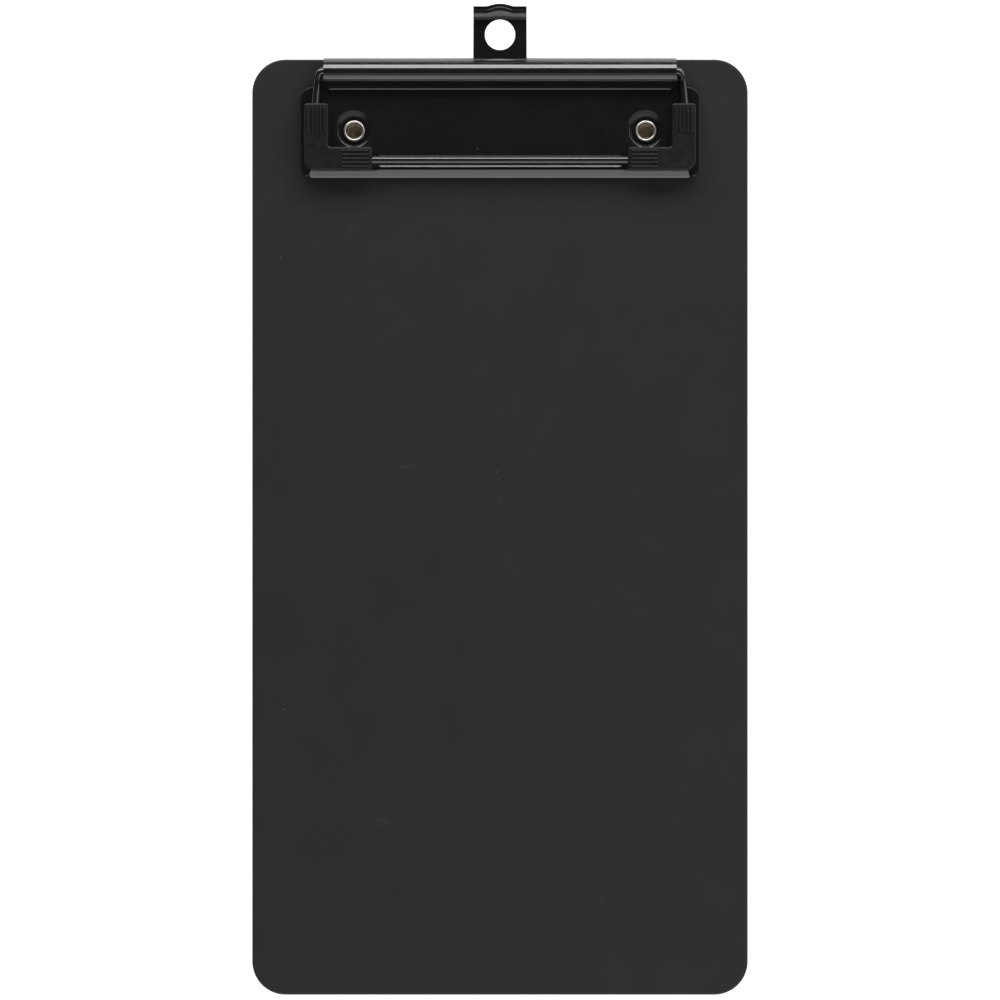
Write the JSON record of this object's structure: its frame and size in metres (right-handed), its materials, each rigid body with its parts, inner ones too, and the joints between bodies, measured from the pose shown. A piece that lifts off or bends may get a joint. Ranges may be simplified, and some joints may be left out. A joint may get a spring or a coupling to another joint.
{
  "type": "clipboard",
  "caption": "Slim black clipboard with a low wire clip: flip-up lever, wire bail with corner grips, hollow rivets and a pull-out hanging tab.",
  "frame": {"origin": "centre of the board's flat back face", "axes": "+Z out of the writing side, +Y along the length towards the clip, +X to the right seen from the writing side with the clip at the top"},
  "size_m": [0.1244, 0.2486, 0.008],
  "materials": {
    "board_plastic": "matte",
    "clip_paint": "gloss",
    "wire_paint": "gloss",
    "grip_plastic": "satin",
    "rivet_nickel": "gloss"
  },
  "bodies": {
    "frame": {"board": "board_plastic", "base_plate": "clip_paint", "rivet_left": "rivet_nickel", "rivet_right": "rivet_nickel"},
    "lever": {"lever": "clip_paint"},
    "bail": {"bail_wire": "wire_paint", "corner_grip_left": "grip_plastic", "corner_grip_right": "grip_plastic"},
    "hanger": {"hanger": "clip_paint"}
  },
  "joints": [
    {"name": "lever_flip", "type": "hinge", "parent": "frame", "child": "lever", "pos_m": [0, 0.1162, 0.0049], "axis": [-1, 0, 0], "range_deg": [0, 90]},
    {"name": "bail_turn", "type": "hinge", "parent": "lever", "child": "bail", "pos_m": [0, 0.1142, 0.0062], "axis": [1, 0, 0], "range_deg": [0, 45]},
    {"name": "hanger_slide", "type": "slide", "parent": "frame", "child": "hanger", "axis": [0, -1, 0], "range_m": [0, 0.01]}
  ],
  "couplings": [
    {"joint": "lever_flip", "follows": "bail_turn", "ratio": 2}
  ]
}
